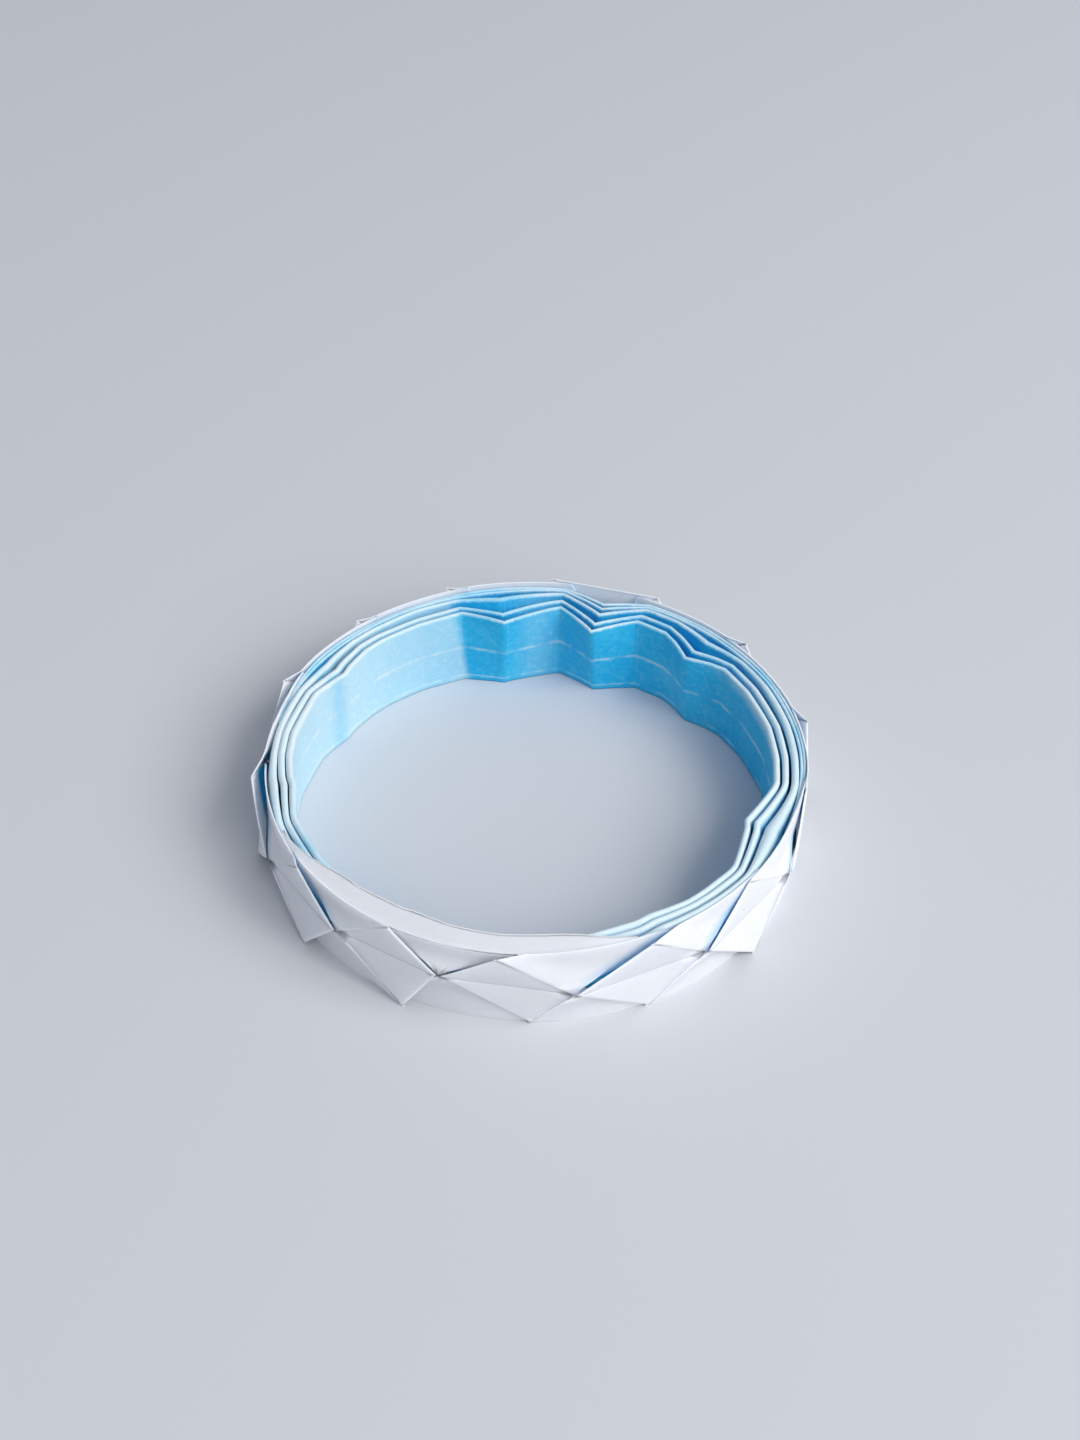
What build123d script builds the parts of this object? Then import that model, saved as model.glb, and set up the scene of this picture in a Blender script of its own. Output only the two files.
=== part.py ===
from build123d import *
import os
from math import cos, radians, sin

# A bracelet folded from one sheet of paper, white on one side and blue on the other.
# The sheet is pleated lengthwise into a band of standing walls, curled into a ring,
# and its outermost strip is pressed into overlapping diamonds and triangles.
# Azimuth 0 is -Y and grows towards +X. Lengths are in mm, angles in degrees.

# Sheet and band
height = 10.4           # height of the folded band
sheet = 0.14            # thickness of the paper
inner_radius = 27.0     # radius of the innermost wall's blue face
fold_gap = 0.21         # space between neighbouring pleat walls at the front
pocket_gap = 0.40       # wider space before the two outer pleat walls
loose_back = 0.60       # how much further apart the walls stand at the back, as a share
wall_sides = 72         # straight runs round one wall

# Outer strip
plate_gap = 0.13        # space between the pleats and the nearest diamond
step_gap = 0.10         # space under the corner of a triangle that lies on a diamond
bite = 0.08             # depth to which a fold is pressed into the layer below it
overlap = 0.35          # width of the edge of a triangle that lies on its diamond
tuck_angle = 4.0        # how far a triangle runs on under the next diamond
tuck_depth = 0.60       # how far its corner heads inwards, before the pleats stop it
crease_gap = 0.10       # half of the space between an upper and a lower triangle
meet_gap = 0.25         # half of the space between two diamonds that meet head on

# Tips of the diamonds, from the front outwards to each side: azimuth, and how far the tip stands
# out past the diamond's middle line. They were folded by hand, so they are uneven
right_tips = (
    (10.7, 1.2), (41.6, 1.3), (67.7, 0.3), (98.0, 1.7), (119.0, 1.8), (146.0, 1.9), (169.5, 1.9),
)
right_feet = (
    (17.2, 0.3), (41.8, 0.4), (68.2, 1.4), (100.5, 1.7), (121.5, 1.8), (148.5, 1.9), (172.0, 1.9),
)
left_tips = (
    (-13.0, 0.3), (-38.7, 0.7), (-67.5, 1.5), (-98.0, 1.7), (-122.5, 1.8), (-144.5, 1.9), (-167.5, 1.9),
)
left_feet = (
    (-9.4, 1.2), (-36.5, 1.3), (-65.0, 1.5), (-95.5, 1.7), (-120.0, 1.8), (-142.0, 1.9), (-165.0, 1.9),
)
# Height of the crossings that lie off the middle, by number from the front, as a share of the band
crossing_shares = {-1: 0.61, 0: 0.63, 1: 0.47, 2: 0.53, 3: 0.53}

# Kinks of the inner walls: azimuth, inward depth and reach to each side; the ends join at the deepest
kinks = (
    (-155, 2.4, 15), (-107, 0.8, 10), (-65, 0.5, 10), (-10, 0.4, 15),
    (45, 0.4, 15), (85, 1.6, 15), (152, 1.7, 10), (180, 3.0, 10),
)
# Share of the kinks that each wall follows, from the innermost wall outwards
kink_shares = (1.00, 0.94, 0.86, 0.76, 0.42, 0.00)

# Distance of each pleat wall from the innermost one, at the front
wall_offsets = [0.0]
for wall_index in range(1, len(kink_shares)):
    outer_pair = wall_index == len(kink_shares) - 2
    wall_offsets.append(wall_offsets[-1] + sheet + (pocket_gap if outer_pair else fold_gap))
last_wall = len(wall_offsets) - 1


def spot(azimuth, radius, z=0.0):
    """A point given by azimuth, radius and height."""
    turn = radians(azimuth)
    return Vector(radius * sin(turn), -radius * cos(turn), z)


def kink_depth(azimuth):
    """Depth of the deepest kink that reaches this azimuth."""
    depth = 0.0
    for kink_azimuth, kink_size, kink_reach in kinks:
        away = abs((azimuth - kink_azimuth + 180) % 360 - 180)
        depth = max(depth, kink_size * (1 - away / kink_reach))
    return depth


def backness(azimuth):
    """0 at the front, 1 at the back."""
    return (1 - cos(radians(azimuth))) / 2


def wall_radius(wall, azimuth):
    """Radius of a wall's inner face, without its kinks."""
    return inner_radius + wall_offsets[wall] * (1 + loose_back * backness(azimuth))


def outline(wall, outwards):
    """Closed outline of a wall, this far outwards from its inner face."""
    points = []
    for side in range(wall_sides):
        azimuth = 360 * side / wall_sides
        radius = wall_radius(wall, azimuth) + outwards
        points.append(spot(azimuth, radius - kink_shares[wall] * kink_depth(azimuth)))
    return Wire.make_polygon(points, close=True)


def band(first, last, bottom, top):
    """The band between the inner face of one wall and the outer face of another."""
    area = Face(outline(last, sheet), [outline(first, 0)])
    return extrude(area.moved(Location((0, 0, bottom))), top - bottom, dir=(0, 0, 1))


def plate(corners, azimuth):
    """A flat piece of the outer strip, one sheet thick towards this azimuth."""
    return extrude(Face(Wire.make_polygon(corners, close=True)), sheet, dir=spot(azimuth, 1))


# Pleat walls, joined in turn by a fold along the top and a fold along the bottom
pleats = []
for wall_index in range(last_wall + 1):
    pleats.append(band(wall_index, wall_index, 0, height))
for wall_index in range(last_wall):
    if wall_index % 2 == 0:
        pleats.append(band(wall_index, wall_index + 1, height - sheet, height))
    else:
        pleats.append(band(wall_index, wall_index + 1, 0, sheet))
core = pleats[0].fuse(*pleats[1:])

# Crossings, where the corners of neighbouring diamonds lie over one another
tips = {}
leans = {}
for sign, upper, lower in ((1, right_tips, right_feet), (-1, left_tips, left_feet)):
    for number in range(len(upper)):
        unit = sign * (number + 1)
        tips[unit], leans[unit, height] = upper[number]
        leans[unit, 0] = lower[number][1]
feet = {number + 1: foot[0] for number, foot in enumerate(right_feet)}
feet.update({-number - 1: foot[0] for number, foot in enumerate(left_feet)})
last_unit = len(right_tips)
crossings = {0: (tips[1] + tips[-1]) / 2}
for number in range(1, last_unit):
    for side in (1, -1):
        crossings[side * number] = (tips[side * number] + tips[side * (number + 1)]) / 2
crossings[last_unit] = (tips[last_unit] + tips[-last_unit] + 360) / 2
crossings[-last_unit] = crossings[last_unit] - 360


def half_width(unit):
    """Half of the azimuth that a diamond spans."""
    side = 1 if unit > 0 else -1
    return abs(crossings[unit] - crossings[unit - side]) / 2


def rim_radius(azimuth):
    """Radius of the outer face of the pleats."""
    return wall_radius(last_wall, azimuth) + sheet


def crossing_radius(number):
    """Radius of the lowest layer at a crossing, so that both diamonds clear the pleats."""
    side = 1 if number >= 0 else -1
    before = number if number != 0 else -1
    after = number + side if abs(number) < last_unit else -number
    width = max(half_width(before), half_width(after))
    return (rim_radius(crossings[number]) + plate_gap) / cos(radians(width))


def crossing_height(number):
    """Height of a crossing."""
    return height * crossing_shares.get(number, 0.5)


def tip_azimuth(unit, edge):
    """Azimuth of a diamond's tip at the upper or the lower edge."""
    return tips[unit] if edge == height else feet[unit]


def tip_radius(unit, edge):
    """Radius of the blue side of a diamond's tip."""
    return rim_radius(tip_azimuth(unit, edge)) + plate_gap + leans[unit, edge]


def tucked(azimuth, edge):
    """Corner of a triangle that heads inwards past the face of the pleats."""
    return spot(azimuth, rim_radius(azimuth) - tuck_depth, edge)


def folded(unit, edge, turn):
    """Corner of a triangle that lies on a diamond, turned a little from its tip."""
    return spot(tip_azimuth(unit, edge) + turn, tip_radius(unit, edge) + sheet - bite, edge)


triangle_lift = sheet + step_gap
diamond_lift = triangle_lift + sheet - bite
overlap_angle = overlap / radians(rim_radius(0))
meet_angle = meet_gap / radians(rim_radius(0))

# Diamonds, creased along the middle: the corner nearer the front lies on top
strip = []
for unit in tips:
    side = 1 if unit > 0 else -1
    near = unit - side
    near_azimuth = crossings[near]
    far_azimuth = crossings[unit]
    if near == 0:
        near_azimuth += side * meet_angle
    if abs(unit) == last_unit:
        far_azimuth -= side * meet_angle
    near_corner = spot(near_azimuth, crossing_radius(near) + diamond_lift, crossing_height(near))
    far_corner = spot(far_azimuth, crossing_radius(unit), crossing_height(unit))
    for edge in (height, 0):
        azimuth = tip_azimuth(unit, edge)
        tip = spot(azimuth, tip_radius(unit, edge), edge)
        strip.append(plate((near_corner, far_corner, tip), tips[unit]))
        if abs(unit) == last_unit:
            # The end of the strip turns in behind the last diamond and joins the pleats
            turn = (tip + far_corner) / 2
            turn_azimuth = (azimuth + far_azimuth) / 2 - side * overlap_angle
            turn = spot(turn_azimuth, (turn.X**2 + turn.Y**2) ** 0.5, turn.Z)
            start = spot(azimuth - side * overlap_angle, tip_radius(unit, edge), edge)
            strip.append(plate((start, turn, tucked(far_azimuth, edge)), far_azimuth))

# Triangles at the two edges: each lies on its own diamond and tucks under the next
for number in range(-last_unit + 1, last_unit + 1):
    side = 1 if number >= 0 else -1
    for edge, lift in ((height, crease_gap), (0, -crease_gap)):
        corner_radius = crossing_radius(number) + triangle_lift
        corner_azimuth = crossings[number]
        if number == 0:
            start = tucked(tip_azimuth(-1, edge) - tuck_angle, edge)
            end = tucked(tip_azimuth(1, edge) + tuck_angle, edge)
        elif number == last_unit:
            start = folded(number, edge, -overlap_angle)
            end = folded(-number, edge, overlap_angle)
        else:
            start = folded(number, edge, -side * overlap_angle)
            end = tucked(tip_azimuth(number + side, edge) + side * tuck_angle, edge)
            corner_azimuth -= side * overlap_angle
        corner = spot(corner_azimuth, corner_radius, crossing_height(number) + lift)
        strip.append(plate((start, corner, end), crossings[number]))

# The outer strip stops inside the outermost pleat wall and is one sheet with it
stop = extrude(Face(outline(last_wall, sheet / 2)), height, dir=(0, 0, 1))
outer = [piece.cut(stop) for piece in strip]
ring = core.fuse(*outer)

# The ring stands on z = 0, centred on its own width and depth
box = ring.bounding_box()
ring = ring.moved(Location((-box.center().X, -box.center().Y, 0)))
ring.label = "paper_ring"
print("solids", len(ring.solids()), "valid", ring.is_valid, "volume", round(ring.volume, 1))
print("size", ring.bounding_box().size)

os.makedirs("parts", exist_ok=True)
export_step(ring, "parts/paper_ring.step")
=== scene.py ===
# %% [markdown]
# # A pleated paper bracelet
# The bracelet is one strip of paper, white on one side and blue on the other. It is pleated
# lengthwise, curled into a ring, and its outermost strip is pressed into diamonds and triangles
# that overlap like scales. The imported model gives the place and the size. Here the same sheet is
# modelled again with soft folds, a paper surface and its two colours.

# %% Load the frame and keep its box
import bpy
import math
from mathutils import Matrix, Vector, noise


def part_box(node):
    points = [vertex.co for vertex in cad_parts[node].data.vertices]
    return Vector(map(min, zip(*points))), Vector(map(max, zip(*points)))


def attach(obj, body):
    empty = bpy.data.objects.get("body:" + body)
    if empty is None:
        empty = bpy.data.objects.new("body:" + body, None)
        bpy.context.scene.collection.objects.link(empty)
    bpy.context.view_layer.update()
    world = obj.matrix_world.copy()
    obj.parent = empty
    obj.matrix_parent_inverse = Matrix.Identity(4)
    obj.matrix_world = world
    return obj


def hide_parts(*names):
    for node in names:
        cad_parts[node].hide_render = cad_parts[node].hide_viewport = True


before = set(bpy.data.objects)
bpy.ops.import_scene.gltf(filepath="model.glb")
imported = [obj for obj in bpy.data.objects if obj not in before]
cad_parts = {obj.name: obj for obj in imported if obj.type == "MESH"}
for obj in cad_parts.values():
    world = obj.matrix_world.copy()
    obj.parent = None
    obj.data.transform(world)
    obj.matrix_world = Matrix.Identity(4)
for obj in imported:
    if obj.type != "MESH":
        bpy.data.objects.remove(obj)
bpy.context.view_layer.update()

ring_low, ring_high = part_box("paper_ring")
height = (ring_high.z - ring_low.z) * 1000
ring_width = (ring_high.x - ring_low.x) * 1000
print("band height", round(height, 2), "mm, width", round(ring_width, 2), "mm")

# %% [markdown]
# ## The sheet and its pleats
# Everything below is worked out in millimetres and degrees, because paper folds are easier to
# think about that way, and is turned into metres only when a mesh is made. Azimuth 0 is the front
# of the ring, towards -Y, and it grows towards +X. The pleats are six standing walls, tight at the
# front and looser at the back. A wall's place is its distance from the innermost one, so that a gap
# can be changed in one spot.

# %% Sizes of the sheet and the pleats
sheet = 0.14
inner_radius = 27.0
wall_count = 6
fold_gap = 0.21
pocket_gap = 0.40
pocket_wall = 4
loose_back = 0.60
wall_offsets = [0.0]
for wall in range(1, wall_count):
    gap = pocket_gap if wall == pocket_wall else fold_gap
    wall_offsets.append(wall_offsets[-1] + sheet + gap)
print("pleat walls stand", [round(offset, 2) for offset in wall_offsets], "mm out from the first")


# %% Where a point of the ring lies
def spot(azimuth, radius, z=0.0):
    """A point given by azimuth, radius and height."""
    turn = math.radians(azimuth)
    return Vector((radius * math.sin(turn), -radius * math.cos(turn), z))


def azimuth_of(point):
    """Azimuth of a point, from -180 to 180."""
    return math.degrees(math.atan2(point.x, -point.y))


def from_front(azimuth):
    """Any azimuth, brought between -180 and 180."""
    return (azimuth + 180) % 360 - 180


def backness(azimuth):
    """0 at the front, 1 at the back."""
    return (1 - math.cos(math.radians(azimuth))) / 2


def wall_radius(wall, azimuth):
    """Radius of a wall's inner face, without its kinks."""
    return inner_radius + wall_offsets[wall] * (1 + loose_back * backness(azimuth))


def rim_radius(azimuth):
    """Radius of the outer face of the pleats."""
    return wall_radius(wall_count - 1, azimuth) + sheet


print("pleats reach", round(rim_radius(0), 2), "mm at the front,", round(rim_radius(180), 2), "at the back")

# %% [markdown]
# ## Diamonds and crossings
# The outer strip is a row of diamonds, seven to each side of the front, and neighbours meet at
# crossings. They could be spaced evenly, but a hand folded the real ones, so every diamond has its
# own tip at the upper edge and foot at the lower edge: an azimuth, and a lean, which is how far it
# stands out past the diamond's middle line.

# %% Tips and feet of the diamonds, from the front to each side: azimuth and lean
right_tips = (
    (10.7, 1.2), (41.6, 1.3), (67.7, 0.3), (98.0, 1.7), (119.0, 1.8), (146.0, 1.9), (169.5, 1.9),
)
right_feet = (
    (17.2, 0.3), (41.8, 0.4), (68.2, 1.4), (100.5, 1.7), (121.5, 1.8), (148.5, 1.9), (172.0, 1.9),
)
left_tips = (
    (-13.0, 0.3), (-38.7, 0.7), (-67.5, 1.5), (-98.0, 1.7), (-122.5, 1.8), (-144.5, 1.9), (-167.5, 1.9),
)
left_feet = (
    (-9.4, 1.2), (-36.5, 1.3), (-65.0, 1.5), (-95.5, 1.7), (-120.0, 1.8), (-142.0, 1.9), (-165.0, 1.9),
)
tips, feet, leans = {}, {}, {}
for side, upper, lower in ((1, right_tips, right_feet), (-1, left_tips, left_feet)):
    for number in range(len(upper)):
        unit = side * (number + 1)
        tips[unit], leans[unit, height] = upper[number]
        feet[unit], leans[unit, 0] = lower[number]
print(len(tips), "diamonds, leaning out by", min(leans.values()), "to", max(leans.values()), "mm")

# %% Crossings, where the corners of neighbouring diamonds lie over one another
plate_gap = 0.13
# Height of the crossings that lie off the middle, as a share of the band
crossing_shares = {-1: 0.61, 0: 0.63, 1: 0.47, 2: 0.53, 3: 0.53}
last_unit = len(right_tips)
crossings = {0: (tips[1] + tips[-1]) / 2}
for number in range(1, last_unit):
    for side in (1, -1):
        crossings[side * number] = (tips[side * number] + tips[side * (number + 1)]) / 2
crossings[last_unit] = (tips[last_unit] + tips[-last_unit] + 360) / 2
crossings[-last_unit] = crossings[last_unit] - 360


def side_of(number):
    """1 on the right-hand side, -1 on the left."""
    return 1 if number >= 0 else -1


def tip_azimuth(unit, edge):
    """Azimuth of a diamond's tip at the upper edge or of its foot at the lower edge."""
    return tips[unit] if edge == height else feet[unit]


def tip_radius(unit, edge):
    """Radius of the blue side of a diamond's tip or foot."""
    return rim_radius(tip_azimuth(unit, edge)) + plate_gap + leans[unit, edge]


def crossing_height(number):
    return height * crossing_shares.get(number, 0.5)


def half_width(unit):
    """Half of the azimuth that a diamond spans."""
    return abs(crossings[unit] - crossings[unit - side_of(unit)]) / 2


def crossing_radius(number):
    """Radius of the lowest layer at a crossing, so that both diamonds clear the pleats."""
    before = number if number != 0 else -1
    after = number + side_of(number) if abs(number) < last_unit else -number
    width = math.radians(max(half_width(before), half_width(after)))
    return (rim_radius(crossings[number]) + plate_gap) / math.cos(width)


print("crossings at", [round(crossings[number], 1) for number in sorted(crossings)])

# %% [markdown]
# ## Paper, white side and blue side
# One sheet has two colours, so it gets two materials, and Solidify puts the second one on its back.
# Real paper shows three things close up: a fine felt of fibres, a slow cloudiness, and wear where it
# was folded, because the colour layer cracks and the pale core shows. The fibres and clouds are
# noise in the object's own space. Wear, creases and slits could be painted on an image, but here
# they read small attributes that the meshes carry, mostly distances in millimetres, which stay sharp
# at any size of picture. On the white side the creases carry painted shade, the fold edges a painted
# highlight and the slits painted bounce light and shade, and on the blue side the pale part of the
# left wall is a painted highlight.


# %% A short way to add and link shader nodes
def add(tree, kind, **settings):
    """A new node with its settings, the values of its sockets and the links into it."""
    node = tree.nodes.new(kind)
    links = settings.pop("links", {})
    values = settings.pop("values", {})
    for name, value in settings.items():
        setattr(node, name, value)
    for name, value in values.items():
        node.inputs[name].default_value = value
    for name, source in links.items():
        tree.links.new(source, node.inputs[name])
    return node


def math_node(tree, operation, first, second=None, third=None):
    node = add(tree, "ShaderNodeMath", operation=operation)
    for index, value in enumerate((first, second, third)):
        if value is None:
            continue
        if isinstance(value, (int, float)):
            node.inputs[index].default_value = value
        else:
            tree.links.new(value, node.inputs[index])
    return node.outputs[0]


def blend(tree, factor, first, second):
    """The first colour where the factor is 0, the second where it is 1."""
    node = add(tree, "ShaderNodeMix", data_type="RGBA")
    for socket, value in ((0, factor), (6, first), (7, second)):
        if hasattr(value, "is_linked"):
            tree.links.new(value, node.inputs[socket])
        else:
            node.inputs[socket].default_value = value
    return node.outputs[2]


def between(tree, value, low, high, first=0.0, last=1.0):
    """A smooth step from the first value at low to the last at high."""
    node = add(tree, "ShaderNodeMapRange", interpolation_type="SMOOTHSTEP", links={"Value": value},
               values={"From Min": low, "From Max": high, "To Min": first, "To Max": last})
    return node.outputs["Result"]


# %% Start a paper material with its grain and the marks of the mesh
# Scale per metre, detail and roughness of each noise
grains = {"fibres": (5200.0, 4.0, 0.65), "mottle": (1500.0, 5.0, 0.75), "clouds": (420.0, 5.0, 0.6),
          "blotches": (130.0, 4.0, 0.65), "crumple": (210.0, 2.0, 0.4)}


def start_paper(name):
    material = bpy.data.materials.new(name)
    material.use_nodes = True
    tree = material.node_tree
    paper = {"material": material, "tree": tree, "shader": tree.nodes["Principled BSDF"]}
    place = add(tree, "ShaderNodeTexCoord").outputs["Object"]
    for grain, (scale, detail, rough) in grains.items():
        made = add(tree, "ShaderNodeTexNoise", links={"Vector": place},
                   values={"Scale": scale, "Detail": detail, "Roughness": rough})
        paper[grain] = made.outputs["Fac"]
    edges = add(tree, "ShaderNodeAttribute", attribute_name="edge_mm").outputs["Vector"]
    first, hem, second = add(tree, "ShaderNodeSeparateXYZ", links={"Vector": edges}).outputs
    paper["folds"] = math_node(tree, "MINIMUM", first, second)
    paper["hem"] = hem
    paper["crease"] = add(tree, "ShaderNodeAttribute", attribute_name="crease_mm").outputs["Fac"]
    # Depths in the slits, which the white side turns into painted bounce light and shade, and the share of
    # paleness and painted highlight on the blue
    slits = add(tree, "ShaderNodeAttribute", attribute_name="slit_mm").outputs["Vector"]
    parted = add(tree, "ShaderNodeSeparateXYZ", links={"Vector": slits}).outputs
    paper["upper_slit"], paper["lower_slit"], paper["fading"] = parted
    fine = math_node(tree, "MULTIPLY", paper["fibres"], 0.5)
    paper["relief"] = math_node(tree, "MULTIPLY_ADD", paper["crumple"], 3.0, fine)
    return paper


print("grains of the paper:", ", ".join(grains))


# %% Finish a paper material: light goes a little way through thin paper
def finish_paper(paper, colour, relief, bump, roughness, gloss):
    tree = paper["tree"]
    inputs = paper["shader"].inputs
    tree.links.new(colour, inputs["Base Color"])
    pressed = add(tree, "ShaderNodeBump", values={"Strength": bump, "Distance": 0.00006},
                  links={"Height": relief})
    tree.links.new(pressed.outputs["Normal"], inputs["Normal"])
    inputs["Subsurface Weight"].default_value = 0.60
    inputs["Subsurface Radius"].default_value = (1.0, 1.0, 1.0)
    inputs["Subsurface Scale"].default_value = 0.0005
    inputs["Roughness"].default_value = roughness
    inputs["Specular IOR Level"].default_value = gloss
    print("made", paper["material"].name, "with", len(tree.nodes), "nodes")
    return paper["material"]


# %% [markdown]
# The white side shows on the outside of the ring. Its creases are darkened with painted shade and
# its fold edges brightened with a painted highlight. In the slits between a triangle and the next
# diamond blue paper throws its colour on the white, so the upper slits turn blue and the lower ones
# grey. The lamps alone give too little of that in gaps this narrow, so the depth inside a slit paints
# that bounce light and shade on the paper as well.

# %% White side of the paper
shade_white, bright_white = (0.83, 0.845, 0.90, 1), (0.90, 0.91, 0.945, 1)
grey_fibre, painted_crease_shade = (0.77, 0.79, 0.87, 1), (0.47, 0.48, 0.64, 1)
painted_edge_highlight = (0.95, 0.96, 0.98, 1)
painted_bounce_blue, painted_slit_shade = (0.24, 0.53, 0.92, 1), (0.50, 0.51, 0.70, 1)

white = start_paper("paper_white_side")
tree = white["tree"]
cloudy = blend(tree, white["clouds"], shade_white, bright_white)
fibrous = blend(tree, between(tree, white["mottle"], 0.46, 0.34, 0.0, 0.30), cloudy, grey_fibre)
# Painted shade darkens the paper along its creases
creased = blend(tree, between(tree, white["crease"], 0.15, 0.02, 0.0, 0.5), fibrous, painted_crease_shade)
any_edge = math_node(tree, "MINIMUM", white["folds"], white["hem"])
# Painted highlight brightens the paper along its fold edges and the hem
wear_and_painted_highlight = blend(tree, between(tree, any_edge, 0.34, 0.05, 0.0, 0.9), creased, painted_edge_highlight)
# Painted blue bounce light in the upper slits, bluer deeper in the slit
blue_slits = blend(tree, between(tree, white["upper_slit"], -2.2, 0.6), wear_and_painted_highlight, painted_bounce_blue)
# Painted grey shade in the lower slits and where a diamond goes under its triangle
in_lower_slit = between(tree, white["lower_slit"], -1.1, 0.5, 0.0, 0.75)
all_slits = blend(tree, in_lower_slit, blue_slits, painted_slit_shade)
dent = between(tree, white["crease"], 0.18, 0.0)
dented = math_node(tree, "MULTIPLY_ADD", dent, -1.2, white["relief"])
white_side = finish_paper(white, all_slits, dented, bump=0.30, roughness=0.6, gloss=0.35)

# %% [markdown]
# The blue side shows inside the ring and on its upper rim. The colour is only a layer on the paper:
# it is cloudy and it has worn off in blotches. Where the mesh says so it is painted pale as well,
# which on the left wall is a painted highlight where the lamps fall on it. It also keeps the marks of
# the folding, a crease along the middle of the band and faint creases of the diamonds, all pale
# because the colour has cracked there. They could be cut into the mesh, but they have no depth to
# speak of, so they are drawn from the UV map, where one step in U is one diamond and V runs from the
# lower to the upper edge.

# %% Blue side: the colour layer
deep_blue, clear_blue = (0.006, 0.40, 0.80, 1), (0.018, 0.50, 0.90, 1)
# The palest blue here, and the pale fleck, crack and core colours below, paint a highlight on the left wall
# and paler fold tops on the right
blotch_blue, pale_painted_light_blue = (0.10, 0.62, 0.92, 1), (0.50, 0.78, 0.93, 1)
fleck_blue, pale_painted_light_fleck = (0.16, 0.66, 0.94, 1), (0.80, 0.92, 0.99, 1)

blue = start_paper("paper_blue_side")
tree = blue["tree"]
cloudy = blend(tree, blue["clouds"], deep_blue, clear_blue)
worn_off = blend(tree, between(tree, blue["blotches"], 0.47, 0.75, 0.0, 0.55), cloudy, blotch_blue)
# Painted highlight on the left wall, and paler fold tops on the right, where the mesh's share says so
painted_pale = blend(tree, blue["fading"], worn_off, pale_painted_light_blue)
fleck_colour = blend(tree, blue["fading"], fleck_blue, pale_painted_light_fleck)
flecked = blend(tree, between(tree, blue["mottle"], 0.46, 0.70, 0.0, 0.42), painted_pale, fleck_colour)
print("colour layer:", len(tree.nodes), "nodes")

# %% Blue side: creases drawn from the UV map
crack_blue, pale_painted_light_crack = (0.58, 0.80, 0.94, 1), (0.90, 0.96, 0.99, 1)
uv = add(tree, "ShaderNodeUVMap", uv_map="sheet").outputs["UV"]
along, across, _ = add(tree, "ShaderNodeSeparateXYZ", links={"Vector": uv}).outputs
wander = math_node(tree, "MULTIPLY_ADD", blue["blotches"], 0.10, -0.05)
off_middle = math_node(tree, "SUBTRACT", math_node(tree, "ADD", across, wander), 0.5)
from_middle = math_node(tree, "ABSOLUTE", off_middle)
from_tip = math_node(tree, "PINGPONG", along, 0.5)
from_slant = math_node(tree, "ABSOLUTE", math_node(tree, "SUBTRACT", from_middle, from_tip))
from_upright = math_node(tree, "PINGPONG", along, 0.25)
from_foot = math_node(tree, "ABSOLUTE", math_node(tree, "SUBTRACT", across, 0.075))
lines = between(tree, from_middle, 0.034, 0.004)
# Each other crease: where it begins, where it is strongest, and how strong it is
for distance, begin, full, strength in ((from_slant, 0.035, 0.005, 0.12),
                                        (from_upright, 0.018, 0.002, 0.14),
                                        (from_foot, 0.024, 0.006, 0.8)):
    line = between(tree, distance, begin, full, 0.0, strength)
    lines = math_node(tree, "MAXIMUM", lines, line)
patchy = between(tree, blue["clouds"], 0.38, 0.62, 0.05, 0.60)
lines = math_node(tree, "MULTIPLY", lines, patchy)
crack_colour = blend(tree, blue["fading"], crack_blue, pale_painted_light_crack)
cracked = blend(tree, lines, flecked, crack_colour)
print("colour layer with its creases:", len(tree.nodes), "nodes")

# %% [markdown]
# Along a fold the blue has rubbed off in ragged patches, and the pale core of the paper shows. Where
# the outer strip's edge is turned in, its inside is white for the width of that hem.

# %% Blue side: worn folds and the white hem
core_blue, core_pale, pale_painted_light_core = (0.38, 0.72, 0.94, 1), (0.66, 0.86, 0.98, 1), (0.74, 0.90, 0.99, 1)
hem_shade, hem_bright = (0.91, 0.92, 0.955, 1), (0.96, 0.965, 0.985, 1)
hem_end, hem_full = 4.4, 3.0
from_fold = math_node(tree, "SUBTRACT", blue["folds"], 0.40)
ragged = math_node(tree, "MULTIPLY_ADD", blue["mottle"], 0.8, from_fold)
core = blend(tree, between(tree, blue["blotches"], 0.36, 0.64), core_blue, core_pale)
core_with_painted_light = blend(tree, blue["fading"], core, pale_painted_light_core)
wear_and_painted_highlight = blend(tree, between(tree, ragged, 0.46, 0.06, 0.0, 0.95), cracked, core_with_painted_light)
hem_white = blend(tree, blue["clouds"], hem_shade, hem_bright)
hemmed = blend(tree, between(tree, blue["hem"], hem_end, hem_full), wear_and_painted_highlight, hem_white)
blue["shader"].inputs["Sheen Weight"].default_value = 0.05
blue["shader"].inputs["Sheen Roughness"].default_value = 0.4
dented = math_node(tree, "MULTIPLY_ADD", lines, -0.8, blue["relief"])
blue_side = finish_paper(blue, hemmed, dented, bump=0.25, roughness=0.5, gloss=0.2)

# %% [markdown]
# ## The pleated walls
# The band's body is the sheet folded to and fro: up one wall, over a fold, down the next. It could
# be six separate rings, but a real pleat has no seams, so one profile line runs through all six
# walls and their folds and is swept round the ring. First come the things that change the profile
# on its way round, and a few helpers that turn an azimuth into a soft share.


# %% Soft steps and slow waves
def smooth(share):
    """A soft step: 0 below 0, 1 above 1."""
    share = min(1.0, max(0.0, share))
    return share * share * (3 - 2 * share)


def closeness(azimuth, middle, reach):
    """1 at the middle azimuth, falling to 0 at the end of its reach."""
    return smooth(1 - abs(from_front(azimuth - middle)) / reach)


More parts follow.
